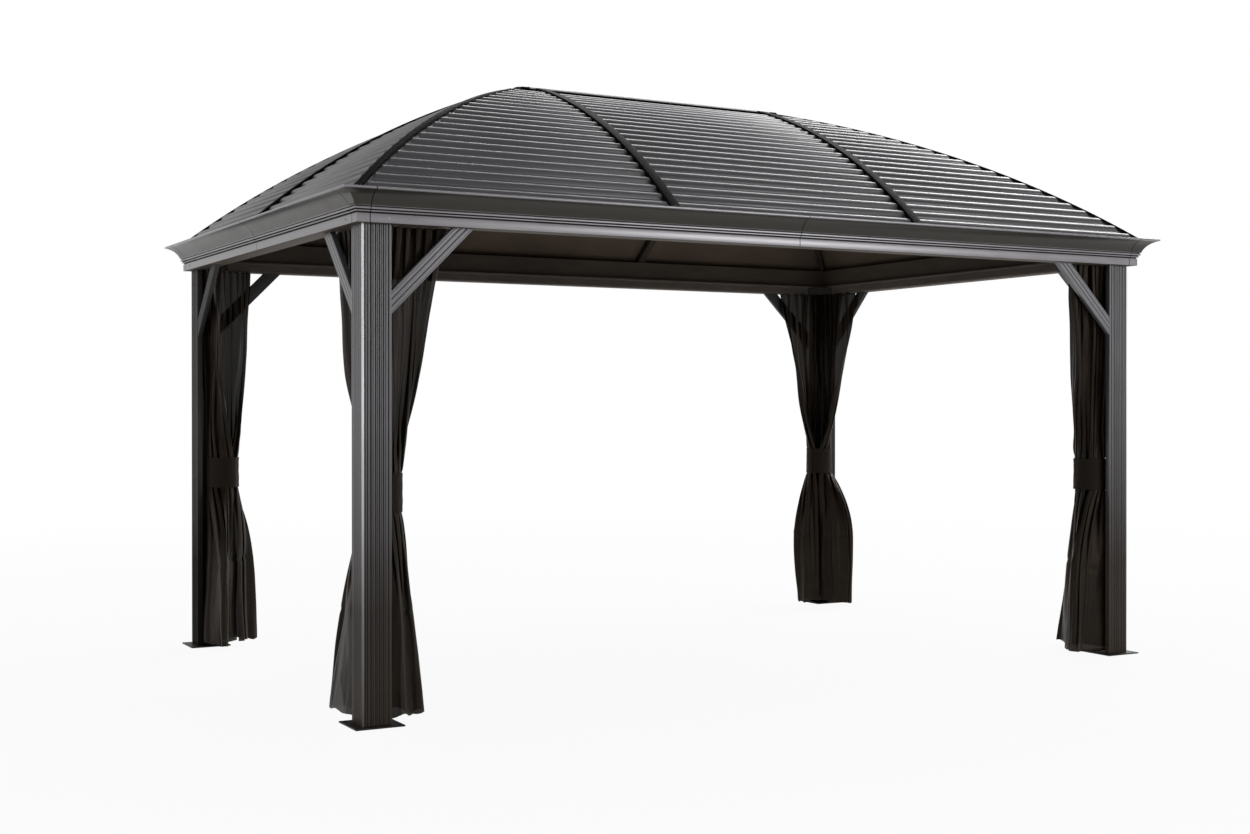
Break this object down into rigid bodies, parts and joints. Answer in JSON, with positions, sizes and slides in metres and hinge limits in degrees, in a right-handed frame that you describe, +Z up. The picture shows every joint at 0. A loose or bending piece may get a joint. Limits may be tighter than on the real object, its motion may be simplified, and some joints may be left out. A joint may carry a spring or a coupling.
{
  "type": "metal gazebo",
  "caption": "Open metal gazebo with an arched hip roof of ribbed steel panels, L-shaped posts, knee braces, moulded fascia and tied-back corner curtains.",
  "frame": {"origin": "centre of the posts' plan at floor level, under the middle of the ridge", "axes": "+X along the long side and the ridge, +Y from the front side to the back, +Z up"},
  "size_m": [4.378, 2.888, 2.884],
  "materials": {
    "post_paint": "satin powder coat, mid grey",
    "plate_paint": "satin powder coat, near black",
    "beam_paint": "satin powder coat, dark grey",
    "fascia_paint": "satin powder coat, grey",
    "brace_paint": "satin powder coat, light grey",
    "rail_paint": "satin powder coat, dark",
    "rafter_paint": "satin powder coat, dark brown black",
    "roof_sheet": "roll-formed coated steel sheet, satin dark grey",
    "cap_paint": "satin powder coat, near black",
    "ridge_paint": "satin coated steel, grey",
    "curtain_cloth": "fine dark mesh and woven polyester",
    "tie_cloth": "flat woven polyester, near black"
  },
  "bodies": {
    "root": {"post_front_left": "post_paint", "post_front_right": "post_paint", "post_back_left": "post_paint", "post_back_right": "post_paint", "base_plates": "plate_paint", "beam_front": "beam_paint", "beam_back": "beam_paint", "beam_left": "beam_paint", "beam_right": "beam_paint", "fascia_front": "fascia_paint", "fascia_back": "fascia_paint", "fascia_left": "fascia_paint", "fascia_right": "fascia_paint", "fascia_corners": "fascia_paint", "braces_front_left": "brace_paint", "braces_front_right": "brace_paint", "braces_back_left": "brace_paint", "braces_back_right": "brace_paint", "curtain_rails": "rail_paint", "corner_brackets": "rail_paint", "hip_rafters": "rafter_paint", "slope_rafters": "rafter_paint", "ridge_beam": "rafter_paint", "roof_front_center": "roof_sheet", "roof_front_left": "roof_sheet", "roof_front_right": "roof_sheet", "roof_back_center": "roof_sheet", "roof_back_left": "roof_sheet", "roof_back_right": "roof_sheet", "roof_left_front": "roof_sheet", "roof_left_back": "roof_sheet", "roof_right_front": "roof_sheet", "roof_right_back": "roof_sheet", "hip_caps": "cap_paint", "joint_caps": "cap_paint", "ridge_cap": "ridge_paint", "curtain_front_left": "curtain_cloth", "curtain_front_right": "curtain_cloth", "curtain_back_left": "curtain_cloth", "curtain_back_right": "curtain_cloth", "tie_bands": "tie_cloth"}
  },
  "joints": []
}
